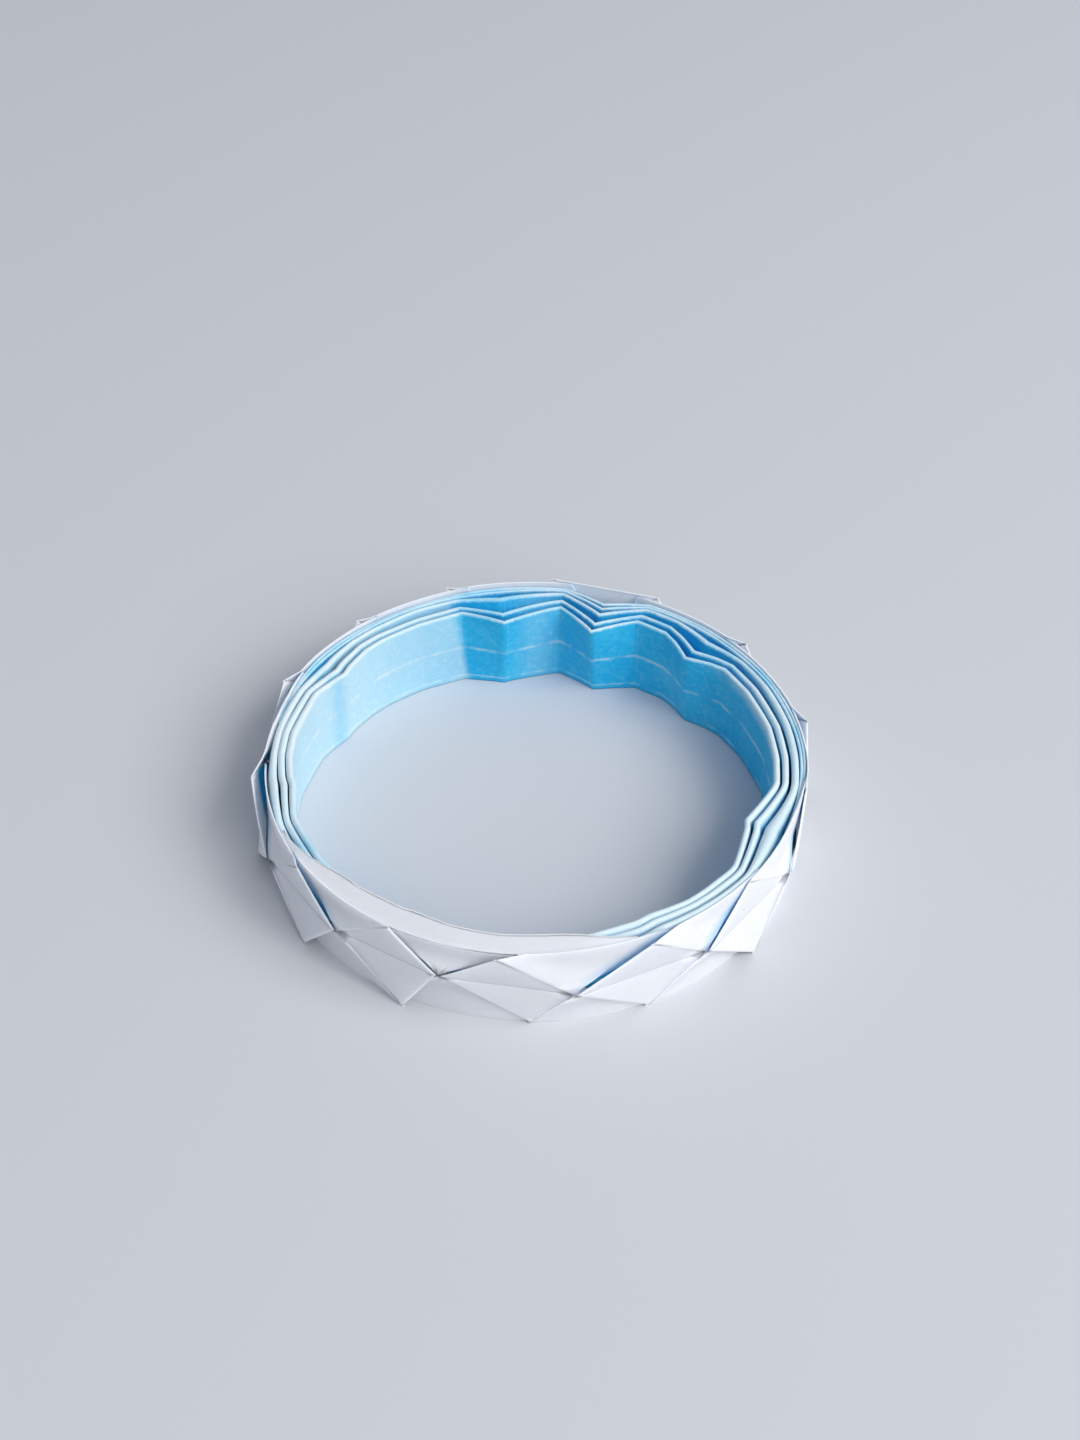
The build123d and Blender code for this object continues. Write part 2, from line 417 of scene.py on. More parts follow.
def wave(azimuth, seed, size, rate=3.0):
    """A slow wave round the ring, which closes on itself."""
    turn = math.radians(azimuth)
    return size * noise.noise(Vector((rate * math.cos(turn), rate * math.sin(turn), seed * 7.31)))


print("half way down a soft step:", closeness(5, 0, 10))

# %% [markdown]
# ### Kinks and straight runs
# The ring isn't quite round. Its walls are kinked inwards in eight places, deepest at the back,
# where the ends of the strip join, and between the old creases the paper runs straight. A wall
# further out follows the kinks less, but all of them follow the one at the join, which gives the
# folds there their V. A sculpted bend would do too, but a table can be read and changed.

# %% Kinks: azimuth, inward depth, reach before and after it
kinks = ((-155, 2.4, 15, 10), (-107, 0.8, 10, 10), (-65, 0.5, 10, 10), (-10, 0.4, 15, 15),
         (45, 0.4, 15, 15), (85, 1.6, 15, 15), (152, 1.7, 10, 10), (180, 3.0, 10, 10))
join_azimuth = 180
# Share of the kinks, and of the one at the join, that each wall follows from the inside outwards
kink_shares = (1.00, 0.94, 0.86, 0.76, 0.56, 0.12)
join_shares = (1.00, 0.97, 0.93, 0.88, 0.80, 0.72)
# A kink is deeper at the upper edge than at the lower one
top_kink, foot_kink = 1.28, 0.72


def kink_pull(azimuth, share, join_share):
    """How far a wall is pulled inwards, by its share of the kinks and of the one at the join."""
    pull = 0.0
    for kink_azimuth, kink_size, before, after in kinks:
        away = from_front(azimuth - kink_azimuth)
        follows = join_share if kink_azimuth == join_azimuth else share
        pull = max(pull, follows * kink_size * (1 - abs(away) / (after if away > 0 else before)))
    return pull


def kink_slope(z):
    """How much of the pull is felt at this height."""
    return foot_kink + (top_kink - foot_kink) * z / height


print("the first and the last wall are pulled in at the join by",
      [round(kink_pull(join_azimuth, kink_shares[w], join_shares[w]), 2) for w in (0, -1)], "mm")

# %% Straight runs between the old creases
crease_azimuths = sorted(list(tips.values()) + [crossings[n] for n in range(-last_unit, last_unit)])
crease_azimuths.append(crease_azimuths[0] + 360)


def flat_dip(azimuth):
    """How far a straight run between two creases lies inside the round, as a share of the radius."""
    while azimuth < crease_azimuths[0]:
        azimuth += 360
    for low, high in zip(crease_azimuths, crease_azimuths[1:]):
        if low <= azimuth <= high:
            half = math.radians(high - low) / 2
            return 1 - math.cos(half) / math.cos(math.radians(azimuth - (low + high) / 2))
    return 0.0


print("straight runs:", len(crease_azimuths) - 1)

# %% [markdown]
# ### The edge turned over at the front
# At the front the outer edge of the strip is turned inwards over the pleats and presses their folds
# down. It reaches right across in the middle and tapers off to both sides. It is laid later, with
# the outer strip, but the pleats need to know where it is, so that they lie lower there.

# %% How far the turned-over edge covers the pleats
cover_left, left_taper = -60.0, 34.0
cover_right, right_taper = 46.0, 22.0
# Share of the cover at which the folds lie fully pressed
press_share = 0.3


def covered(azimuth):
    """0 where the folds lie open, 1 where the edge reaches right across them."""
    turn = from_front(azimuth)
    return min(1.0, max(0.0, min((turn - cover_left) / left_taper, (cover_right - turn) / right_taper)))


print("covered from", cover_left, "to", cover_right, "degrees")

# %% [markdown]
# ### Width and middle of each fold
# Folds of equal width would look like a machine's work. Here they are wide where a finger pressed
# them flat, at the front and on both sides, and narrow at the back. The outermost fold leans inwards
# over its neighbour, most of all on the right, where it was pressed widest. The spots that were
# pressed are given as an azimuth and a reach.

# %% Half of a fold's width, and its middle between two walls
front_fold, back_fold = 0.27, 0.17
middle_fold, outer_fold = 2, 4
left_press, left_lean = (-85, 45), (-83, 45)
right_press, right_ease = (83, 16), (112, 45)


def fold_half(fold, azimuth):
    half = front_fold + (back_fold - front_fold) * backness(azimuth)
    half += 0.11 * closeness(azimuth, *left_press) + 0.08 * closeness(azimuth, *right_ease)
    if fold == outer_fold:
        half += 0.38 * closeness(azimuth, *right_press) + 0.08 * closeness(azimuth, *right_ease)
    return half


def fold_centre(fold, lines, azimuth):
    middle = (lines[fold] + lines[fold + 1]) / 2
    if fold == middle_fold:
        middle -= 0.12 * closeness(azimuth, *right_press)
    if fold == outer_fold:
        middle -= 0.16 * (1 - backness(azimuth)) + 0.28 * closeness(azimuth, *left_lean)
        middle -= 0.42 * closeness(azimuth, *right_press) + 0.12 * closeness(azimuth, *right_ease)
    return middle


print("the outermost fold is", [round(2 * fold_half(outer_fold, a), 2) for a in (0, 83, 180, -85)],
      "mm wide at the front, right, back and left")

# %% [markdown]
# ### One profile
# A wall isn't a straight line from foot to top. Close to a fold the two walls lean together, because
# a crease pulls them in, the crease along the middle of the band dents it, and a kink tilts it. So
# every wall is a row of points, closer together near its ends, and every fold is a small arc. Each
# point carries its distance to the fold along the paper, for the wear.

# %% Middle lines and ends of the six walls at one azimuth
flat_share = 0.7
wall_wave = 0.09
top_room, open_foot = 0.05, 0.02
# The tops of the folds run uneven, and under the turned-over edge the outer ones are pressed lower
top_wave, top_rate, top_seed = 0.30, 2.2, 20
press_first, press_more = 0.26, 0.12


def wall_lines(azimuth):
    """Radius of each wall's middle line, and how far the kinks pull it in."""
    dip = flat_share * inner_radius * flat_dip(azimuth)
    lines, pulls = [], []
    for wall in range(wall_count):
        share = kink_shares[wall]
        base = wall_radius(wall, azimuth) + sheet / 2 - share * dip + wave(azimuth, wall, wall_wave * share)
        pull = kink_pull(azimuth, share, join_shares[wall])
        lines.append(base - pull)
        pulls.append(pull)
    return lines, pulls


def folds_of(wall):
    """The folds at a wall's foot and top. The first and the last wall end in a free foot."""
    rising = wall % 2 == 0
    foot_fold = wall - 1 if rising else wall
    if wall in (0, wall_count - 1):
        foot_fold = None
    return foot_fold, wall if rising else wall - 1


def wall_ends(wall, azimuth):
    """Heights at which a wall comes out of the fold at its foot and goes into the one at its top."""
    foot_fold, top_fold = folds_of(wall)
    foot = open_foot if foot_fold is None else fold_half(foot_fold, azimuth) + sheet / 2
    pressed = smooth(covered(azimuth) / press_share)
    uneven = abs(wave(azimuth, top_seed + top_fold, top_wave, top_rate)) * (1 - pressed)
    top = height - top_room - uneven - fold_half(top_fold, azimuth) - sheet / 2
    return foot, top - pressed * (press_first + press_more * top_fold)


print("at the back the first wall stands between", [round(end, 2) for end in wall_ends(0, 180)], "mm")

# %% Points of one wall, of one fold and of the whole profile
lean_reach = 1.6
dent_depth, dent_reach = 0.05, 0.8
row_shares = (0.0, 0.03, 0.08, 0.16, 0.30, 0.5, 0.70, 0.84, 0.92, 0.97, 1.0)
fold_turns = (22, 50, 75, 90, 105, 130, 158)


def lean(distance):
    """How far a wall gives in to its fold, this far from it."""
    return smooth(1 - distance / lean_reach)


def wall_points(wall, lines, pulls, azimuth):
    """Points (radius, z, distance to the fold), upwards on even walls and downwards on odd ones."""
    outwards = -1 if wall % 2 == 0 else 1
    foot_fold, top_fold = folds_of(wall)
    foot, top = wall_ends(wall, azimuth)
    line = lines[wall]
    half = fold_half(top_fold, azimuth)
    top_at = fold_centre(top_fold, lines, azimuth) + outwards * half
    foot_at = line
    if foot_fold is not None:
        foot_half = fold_half(foot_fold, azimuth)
        foot_at = fold_centre(foot_fold, lines, azimuth) - outwards * foot_half
    points = []
    for share in row_shares[::-outwards]:
        z = foot + (top - foot) * share
        at = line
        at += (top_at - line) * lean(top - z) + (foot_at - line) * lean(z - foot)
        at -= pulls[wall] * (kink_slope(z) - 1)
        at -= dent_depth * max(0.0, 1 - abs(z - height / 2) / dent_reach) * kink_shares[wall]
        to_fold = top - z + half * math.pi / 2
        if foot_fold is not None:
            to_fold = min(to_fold, z - foot + foot_half * math.pi / 2)
        points.append((at, z, to_fold))
    return points


def fold_points(wall, lines, pulls, azimuth):
    """Points round the fold from a wall to the next one."""
    foot, top = wall_ends(wall, azimuth)
    half = fold_half(wall, azimuth)
    centre = fold_centre(wall, lines, azimuth)
    mean = (pulls[wall] + pulls[wall + 1]) / 2
    points = []
    for turn in fold_turns:
        across = -math.cos(math.radians(turn))
        up = half * math.sin(math.radians(turn))
        z = top + up if wall % 2 == 0 else foot - up
        pull = mean + (pulls[wall + 1] - mean) * across
        out = half * across - pull * (kink_slope(z) - 1)
        points.append((centre + out, z, half * math.radians(abs(turn - 90))))
    return points


def profile(azimuth):
    """All points from the lower edge of the first wall to the lower edge of the last."""
    lines, pulls = wall_lines(azimuth)
    points = []
    for wall in range(wall_count):
        points += wall_points(wall, lines, pulls, azimuth)
        if wall < wall_count - 1:
            points += fold_points(wall, lines, pulls, azimuth)
    return points


print("profile points:", len(profile(0.0)))

# %% [markdown]
# ### Where the corners of the outer strip lie
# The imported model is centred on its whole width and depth, not on its hole. The outer strip reaches
# furthest, so its corners are worked out before any mesh is made, and from them follows where the
# hole's middle lies in the frame.

# %% Corners of all half diamonds and triangles
overlap = 0.35
tuck_angle, tuck_depth = 4.0, 0.60
meet_gap, crease_gap = 0.25, 0.1
step_gap, layer_gap = 0.10, 0.02
fold_bite = 0.03
creased_units = (2, 3)
overlap_angle = overlap / math.radians(rim_radius(0))
meet_angle = meet_gap / math.radians(rim_radius(0))
triangle_lift = sheet + step_gap
diamond_lift = triangle_lift + sheet + layer_gap


def tucked(azimuth, edge):
    """Corner of a triangle that heads inwards, under the next diamond."""
    return spot(azimuth, rim_radius(azimuth) - tuck_depth, edge)


def folded(unit, edge, turn):
    """Corner of a triangle that lies on its own diamond, turned a little from the tip."""
    return spot(tip_azimuth(unit, edge) + turn, tip_radius(unit, edge) + sheet - fold_bite, edge)


def diamond_corners():
    """Near and far corner, tip, azimuth, and whether a stray crease crosses the half diamond."""
    halves = []
    for unit in tips:
        near = unit - side_of(unit)
        near_azimuth = crossings[near] + (side_of(unit) * meet_angle if near == 0 else 0)
        far_azimuth = crossings[unit] - (side_of(unit) * meet_angle if abs(unit) == last_unit else 0)
        near_corner = spot(near_azimuth, crossing_radius(near) + diamond_lift, crossing_height(near))
        far_corner = spot(far_azimuth, crossing_radius(unit), crossing_height(unit))
        for edge in (height, 0):
            tip = spot(tip_azimuth(unit, edge), tip_radius(unit, edge), edge)
            stray = edge == height and unit in creased_units
            halves.append((near_corner, far_corner, tip, tips[unit], stray))
    return halves


def triangle_corners():
    """Start, corner and end, azimuth, side, edge, and which of its ends are tucked under a diamond."""
    made = []
    for number in range(-last_unit + 1, last_unit + 1):
        side = side_of(number)
        for edge, lift in ((height, crease_gap), (0, -crease_gap)):
            corner_azimuth = crossings[number]
            if number == 0:
                start = tucked(tip_azimuth(-1, edge) - tuck_angle, edge)
                end = tucked(tip_azimuth(1, edge) + tuck_angle, edge)
                tucks = (True, True)
            elif number == last_unit:
                start = folded(number, edge, -overlap_angle)
                end = folded(-number, edge, overlap_angle)
                tucks = (False, False)
            else:
                start = folded(number, edge, -side * overlap_angle)
                end = tucked(tip_azimuth(number + side, edge) + side * tuck_angle, edge)
                tucks = (False, True)
                corner_azimuth -= side * overlap_angle
            corner_radius = crossing_radius(number) + triangle_lift
            corner = spot(corner_azimuth, corner_radius, crossing_height(number) + lift)
            made.append((start, corner, end, crossings[number], side, edge, tucks))
    return made


print(len(diamond_corners()), "half diamonds and", len(triangle_corners()), "triangles")

# %% The middle of the hole in the frame
reach = []
for first, second, third, azimuth, *_ in diamond_corners() + triangle_corners():
    for corner in (first, second, third):
        reach += [corner, corner + spot(azimuth, sheet)]
centre_x = (min(p.x for p in reach) + max(p.x for p in reach)) / 2
centre_y = (min(p.y for p in reach) + max(p.y for p in reach)) / 2
cad_centre = (ring_low + ring_high) / 2


def to_frame(point):
    """Millimetres about the hole's axis to metres in the frame."""
    x = (point[0] - centre_x) / 1000 + cad_centre.x
    y = (point[1] - centre_y) / 1000 + cad_centre.y
    return (x, y, point[2] / 1000 + ring_low.z)


print("the hole's middle lies", round(-centre_x, 2), round(-centre_y, 2), "mm from the box's middle")

# %% [markdown]
# ### A sheet of paper as a Blender object
# Both meshes are the same paper, so one helper makes both: a surface without thickness, which is easy
# to fold, and a Solidify modifier that gives it the thickness of the sheet and its blue back. Points,
# faces and marks are gathered in lists first, because that is quicker than adding them one by one.

# %% Gather points and their marks, and make the sheet
# Marks of a point that no fold or crease is near to, and that lies in no slit
far_off, no_depth = 9.0, -9.0


def blank_paper():
    return {name: [] for name in ("points", "faces", "uvs", "edge_mm", "crease_mm", "slit_mm")}


def add_point(paper, place, edges, crease=far_off, slits=(no_depth, no_depth, 0.0)):
    """edges: to one fold, the hem and another fold. slits: upper depth, lower depth and the share of
    paleness and painted light.
    """
    paper["points"].append(place)
    paper["edge_mm"].append(edges)
    paper["crease_mm"].append(crease)
    paper["slit_mm"].append(slits)


def make_sheet(piece_name, paper, offset):
    """A piece of paper whose points lie in the middle of the sheet (0) or on its outer face (-1)."""
    mesh = bpy.data.meshes.new(piece_name)
    mesh.from_pydata([to_frame(point) for point in paper["points"]], [], paper["faces"])
    mesh.uv_layers.new(name="sheet")
    mesh.attributes.new("edge_mm", "FLOAT_VECTOR", "POINT")
    mesh.attributes.new("crease_mm", "FLOAT", "POINT")
    mesh.attributes.new("slit_mm", "FLOAT_VECTOR", "POINT")
    mesh.uv_layers["sheet"].data.foreach_set("uv", [value for uv in paper["uvs"] for value in uv])
    for name in ("edge_mm", "slit_mm"):
        flat_list = [value for mark in paper[name] for value in mark]
        mesh.attributes[name].data.foreach_set("vector", flat_list)
    mesh.attributes["crease_mm"].data.foreach_set("value", paper["crease_mm"])
    mesh.shade_smooth()
    mesh.materials.append(white_side)
    mesh.materials.append(blue_side)
    piece = bpy.data.objects.new(piece_name, mesh)
    bpy.context.collection.objects.link(piece)
    thick = piece.modifiers.new("paper thickness", "SOLIDIFY")
    thick.thickness = sheet / 1000
    thick.offset = offset
    thick.use_even_offset = False
    thick.material_offset = 1
    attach(piece, "root")
    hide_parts("paper_ring")
    print("made", piece_name, "with", len(mesh.polygons), "faces")
    return piece


# %% [markdown]
# ### Where the blue is painted pale
# The inside isn't evenly blue. The wall on the left is painted pale from the flank of the big kink
# onwards, a painted highlight where the lamps fall on it, with a bluer stripe in the middle where less
# of it is painted, and the tops of the folds on the right are paler. A share from 0 to 1 at every
# point of the mesh tells the material where, so no picture has to be painted.

# %% How pale the blue is painted at a point of the pleats
# The painted highlight on the left wall begins at the kink's flank and ends towards the front
painted_light_from, painted_light_to = -146.5, -40
pale_folds_from, pale_folds_to = 5, 150
blue_stripe, pale_flank = (-104, 4), (-164, 9)


def fading(azimuth, z):
    """0 for the full blue, 1 for the palest."""
    turn = from_front(azimuth)
    up = z / height
    # The painted highlight begins on a slant, since the kink is deeper at the top, and softer there too
    from_kink = turn - painted_light_from - 1.5 * up
    wall_share = smooth(from_kink / (1.2 + 2.6 * up)) * (0.66 + 0.34 * smooth(from_kink / 40))
    wall_share *= smooth((painted_light_to - turn) / 30) * (1 - 0.30 * closeness(azimuth, *blue_stripe))
    fold_share = smooth((turn - pale_folds_from) / 15) * smooth((pale_folds_to - turn) / 25)
    fold_share *= smooth((z - height + 1.6) / 0.9)
    return min(1.0, wall_share + 0.22 * closeness(azimuth, *pale_flank) + 0.85 * fold_share)


print("faded at the left, the stripe and the back:", [round(fading(a, 5), 2) for a in (-90, -104, 180)])

# %% Sweep the profile round the ring
columns = 360
first_azimuth = crossings[-last_unit]
azimuths = [first_azimuth + 360 * column / columns for column in range(columns)]
# A column stands on each end and on the middle of every kink, so that the kinks stay sharp
for kink_azimuth, _, before, after in kinks:
    for crease in (kink_azimuth - before, kink_azimuth, kink_azimuth + after):
        nearest = round((crease - first_azimuth) % 360 * columns / 360) % columns
        azimuths[nearest] = first_azimuth + (crease - first_azimuth) % 360
pleat_paper = blank_paper()
for azimuth in azimuths:
    # Towards the front the folds are rubbed further down, so the fold counts as nearer
    rubbed = 0.30 + 0.70 * smooth((abs(from_front(azimuth)) - 75) / 50)
    for radius, z, to_fold in profile(azimuth):
        # The third mark is the share of painted highlight and paleness on the blue side
        slits = (no_depth, no_depth, fading(azimuth, z))
        add_point(pleat_paper, spot(azimuth, radius, z), (to_fold * rubbed, far_off, far_off), slits=slits)
rows = len(pleat_paper["points"]) // columns
print("swept", columns, "columns of", rows, "points")


# %% Faces of the swept profile, with one diamond to a step in U
def unit_count(azimuth):
    """Where an azimuth stands in diamonds, counted from the front."""
    marks = []
    for number in range(-last_unit, last_unit + 1):
        marks.append((crossings[number], float(number)))
        if number != 0:
            marks.append((tips[number], number - 0.5 * side_of(number)))
    marks.sort()
    for (low, first), (high, second) in zip(marks, marks[1:]):
        if low <= azimuth <= high:
            return first + (second - first) * (azimuth - low) / (high - low)
    return marks[0][1] if azimuth < marks[0][0] else marks[-1][1]


counts = [unit_count(azimuth) for azimuth in azimuths] + [float(last_unit)]
for column in range(columns):
    here = column * rows
    following = (column + 1) % columns * rows
    for row in range(rows - 1):
        corners = (here + row, following + row, following + row + 1, here + row + 1)
        pleat_paper["faces"].append(corners)
        for index, end in zip(corners, (0, 1, 1, 0)):
            pleat_paper["uvs"].append((counts[column + end], pleat_paper["points"][index].z / height))
print("faces of the pleats:", len(pleat_paper["faces"]))

# %% [markdown]
# ### Two small folds round the back
# At the back two narrow folds show outside the pleats, just under the upper edge. Only their tops can
# be seen, so each is a short upside-down U that is swept round the back half and sinks into the
# outermost wall at both ends. They could run on to the lower edge, but nobody would see it. The outer
# strip needs to know how much room they take.

# %% Sizes of the small folds, and the room that they take
small_folds, small_half, small_pitch, small_depth = 2, 0.08, 0.36, 1.8
small_join_shares = (0.60, 0.52)
small_inset, small_lift = 0.10, 0.12
small_below, small_sink = 0.10, 0.5
small_wave, small_seed = 0.25, 31
small_legs = (small_depth, 1.0, 0.5, 0.2, 0.0)
# One spot of the UV map for all of a small fold, away from the strong creases
small_uv = (0.25, 0.75)
small_azimuths = [86 + 2 * step for step in range(95)]
# The outer strip stands this much further off at the back
strip_room, strip_room_at = 0.55, (200, 80)


def back_share(azimuth):
    """1 round the back, where the small folds show, and 0 towards the front."""
    return smooth((abs(from_front(azimuth)) - 85) / 25)


def small_room(azimuth, z):
    """Room between the pleats and the outer strip, near the upper edge."""
    near_top = smooth((z - height + small_depth + 1.9) / 1.2)
    folds_room = small_folds * small_pitch * back_share(azimuth)
    return near_top * (folds_room + strip_room * closeness(azimuth, *strip_room_at))


print("room at the back, top and foot:", [round(small_room(180, z), 2) for z in (height, 0)], "mm")

# %% Sweep the small folds and make the pleated walls
small_section = [(-small_half, -depth, depth + small_half * math.pi / 2) for depth in small_legs]
for turn in fold_turns:
    out = -small_half * math.cos(math.radians(turn))
    up = small_half * math.sin(math.radians(turn))
    small_section.append((out, up, small_half * math.radians(abs(turn - 90))))
small_section += [(small_half, -depth, depth + small_half * math.pi / 2) for depth in small_legs[::-1]]
wide = len(small_section)
for fold in range(small_folds):
    base = len(pleat_paper["points"])
    for azimuth in small_azimuths:
        share = back_share(azimuth)
        middle = rim_radius(azimuth) - small_inset + share * (small_lift + small_pitch * (fold + 0.5))
        top = height - small_below - small_half - sheet / 2 - small_sink * (1 - share)
        top -= abs(wave(azimuth, small_seed + fold, small_wave, top_rate))
        pull = kink_pull(azimuth, 0.0, small_join_shares[fold])
        for out, up, to_fold in small_section:
            place = spot(azimuth, middle + out - pull * kink_slope(top + up), top + up)
            add_point(pleat_paper, place, (to_fold, far_off, far_off))
    for column in range(len(small_azimuths) - 1):
        for row in range(wide - 1):
            low = base + column * wide + row
            high = low + wide
            pleat_paper["faces"].append((low, high, high + 1, low + 1))
            pleat_paper["uvs"] += [small_uv] * 4
make_sheet("pleated_walls", pleat_paper, 0.0)

# %% [markdown]
# ## The outer strip
# Outside, the strip is pressed into flat diamonds, each creased along the middle, with a triangle
# at each edge of the band between two diamonds. Every triangle lies on its own diamond and tucks
# under the next one, so that each diamond's leading edge stands away and leaves a slit. They could
# be flat plates, but paper never stays flat between folds, so each one is a fine grid with a slight
# swell, a bow along its free edge, and a bend where it comes to lie on the pleats. A point of a
# grid is a mix of the three corners, whose shares add up to 1. One diamond on the right lies closer
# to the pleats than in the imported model, so it is drawn in first, at its tip and at its foot.

# %% Draw one diamond in, and take the corners again
drawn_in = {4: (1.0, 1.4)}
for unit, (tip_in, foot_in) in drawn_in.items():
    leans[unit, height] -= tip_in
    leans[unit, 0] -= foot_in
    leaning = [round(leans[unit, edge], 2) for edge in (height, 0)]
    print("diamond", unit, "leans out by", leaning, "mm at its tip and its foot")
diamonds = diamond_corners()
triangles = triangle_corners()

# %% Lay a grid of points on the pleats
strip_paper = blank_paper()
across_shares = (0.0, 0.012, 0.03, 0.055, 0.09, 0.15, 0.24, 0.35, 0.47, 0.60, 0.73, 0.86, 1.0)
fold_round, fold_drop = 0.30, 0.15
clearance = 0.04
same_place = 1e-6
# A product of two or three shares is at most 1/4 or 1/27, so these bring it to 1
edge_scale, face_scale = 4, 27


def side_height(corner, first, second):
    """Distance of a corner from the side between two others."""
    return (first - corner).cross(second - corner).length / (second - first).length


def rounding(distance):
    """How far the paper bends down towards a fold, this far from it."""
    share = max(0.0, 1 - distance / fold_round)
    return fold_drop * share * share


def least_radius(azimuth, z, space):
    return rim_radius(azimuth) + small_room(azimuth, z) + sheet + space


def seat(point, space=clearance):
    """A point of the strip, kept outside the pleats and between the two edges of the band."""
    azimuth = azimuth_of(point)
    least = least_radius(azimuth, point.z, space)
    if math.hypot(point.x, point.y) < least:
        point = spot(azimuth, least, point.z)
    return Vector((point.x, point.y, min(max(point.z, 0.0), height)))


def add_patch(rows_of_points):
    """Faces between rows of equal length, turned so that their normals point outwards."""
    base = len(strip_paper["points"])
    wide = len(rows_of_points[0])
    for row in rows_of_points:
        for marked_point in row:
            add_point(strip_paper, *marked_point)
    points = strip_paper["points"]
    for i in range(len(rows_of_points) - 1):
        for j in range(wide - 1):
            low = base + i * wide + j
            high = low + wide
            face = [low, low + 1, high + 1, high]
            if (points[high + 1] - points[high]).length < same_place:
                face = [low, low + 1, high]
            elif (points[low + 1] - points[low]).length < same_place:
                face = [low, high + 1, high]
            first, second, third = [points[index] for index in face[:3]]
            normal = (second - first).cross(third - first)
            if normal.dot(Vector((first.x, first.y, 0))) < 0:
                face.reverse()
            strip_paper["faces"].append(face)
            for index in face:
                along = unit_count(azimuth_of(points[index]))
                strip_paper["uvs"].append((along, points[index].z / height))


print("the strip lies at least", round(least_radius(0, 0, clearance), 2), "mm out at the front")

# %% [markdown]
# ### Half diamonds
# A half diamond's rows run along its leading edge, from the middle crease to the tip. That edge is
# free, so it bows out a little, more on the left. Along its far edge it goes in under its own
# triangle, and the shade there is a slit mark too. Two diamonds on the right carry a stray crease
# from an earlier fold. Modelled creases would need a finer grid, so they are distances as well.

# %% Lay the half diamonds
diamond_swell = 0.10
least_bow, left_bow = 0.04, 0.10
edge_steps = 14
upper_slit_start, lower_slit_start = 0.15, -0.30


def stray_crease(to_far, to_tip):
    """Rough distance to the stray crease, which runs from the near corner to the far edge."""
    return (abs(0.42 * to_tip - 0.58 * to_far) + 0.25 * max(0.0, to_far - 0.5)) * 7.0


def lay_half_diamond(near, far, tip, azimuth, stray, far_height):
    outwards = spot(azimuth, 1.0)
    mid_height = side_height(tip, near, far)
    near_height = side_height(near, far, tip)
    bow = least_bow + left_bow * smooth((-azimuth - 30) / 40)
    slit_start = lower_slit_start if tip.z == 0 else upper_slit_start
    rows = []
    for to_far in across_shares:
        row = []
        for step in range(edge_steps + 1):
            to_near = (1 - to_far) * (1 - step / edge_steps)
            to_tip = (1 - to_far) * (step / edge_steps)
            point = near * to_near + far * to_far + tip * to_tip
            out = sheet + diamond_swell * face_scale * to_near * to_far * to_tip
            out += bow * edge_scale * to_near * to_tip * (1 - to_far) ** 2
            out -= rounding(to_far * far_height)
            crease = to_tip * mid_height + 0.03
            if stray:
                crease = min(crease, stray_crease(to_far, to_tip))
            edges = (far_off, to_far * far_height, far_off)
            # Depth under the triangle along the far edge, which the material turns into painted grey shade
            under = (no_depth, -to_near * near_height - slit_start - 0.8 * to_tip, 0.0)
            row.append((seat(point + outwards * out), edges, crease, under))
        rows.append(row)
    add_patch(rows)


for upper_half, lower_half in zip(diamonds[::2], diamonds[1::2]):
    widths = [side_height(far, near, tip) for near, far, tip, *_ in (upper_half, lower_half)]
    for half_diamond in (upper_half, lower_half):
        lay_half_diamond(*half_diamond, sum(widths) / 2)
print("half diamonds:", len(diamonds), "with", len(strip_paper["faces"]), "faces")

# %% [markdown]
# ### Triangles
# A triangle's rows run along the edge of the band. An end that is a fold needs points close together
# for its rounding, and an end that is tucked goes on for a few points under the next diamond, close
# to the pleats, so that nobody can look past it into the ring. The deeper a point lies in the slit
# there, the more it is tinted, with painted blue bounce light in most upper slits and painted grey
# shade in the rest. At the front the slits are open and shallow, so their tint is weaker, and further
# round it ends more sharply.

# %% Helpers for the triangles
triangle_swell = 0.05
fold_shares = (0.0, 0.02, 0.05, 0.10, 0.18)
middle_shares = (0.28, 0.39, 0.5, 0.61, 0.72)
tuck_steps = 3
tuck_sink = 0.06
slit_step = 0.5
over_lift = sheet + 0.06


def edge_shares(tucks):
    """Shares along the edge of the band, closer together at an end that is a fold."""
    shares = [0.0, 0.08, 0.18] if tucks[0] else list(fold_shares)
    shares += middle_shares
    shares += [0.82, 0.92, 1.0] if tucks[1] else [1 - share for share in fold_shares[::-1]]
    return shares


def tuck_under(row, index, turn, to_corner):
    """Go on with a row under the next diamond, at its start (index 0) or its end (index -1)."""
    point, folds, _, deep = row[index]
    azimuth = azimuth_of(point)
    radius = math.hypot(point.x, point.y)
    sunk = tuck_sink * (height / 2 - point.z)
    for step in range(1, tuck_steps + 1):
        more = azimuth + turn * (1.0 + 3.0 * to_corner - 2.5 * to_corner * to_corner) * step / tuck_steps
        least = least_radius(more, point.z, clearance)
        inwards = max(least, radius + (least - radius) * step / tuck_steps)
        place = spot(more, inwards, point.z + sunk * step)
        extra = [place, [far_off, folds[1], far_off], far_off, deep + slit_step * step]
        row.insert(0 if index == 0 else len(row), extra)


print("points along an edge:", [len(edge_shares(tucks)) for tucks in ((False, True), (True, True))])


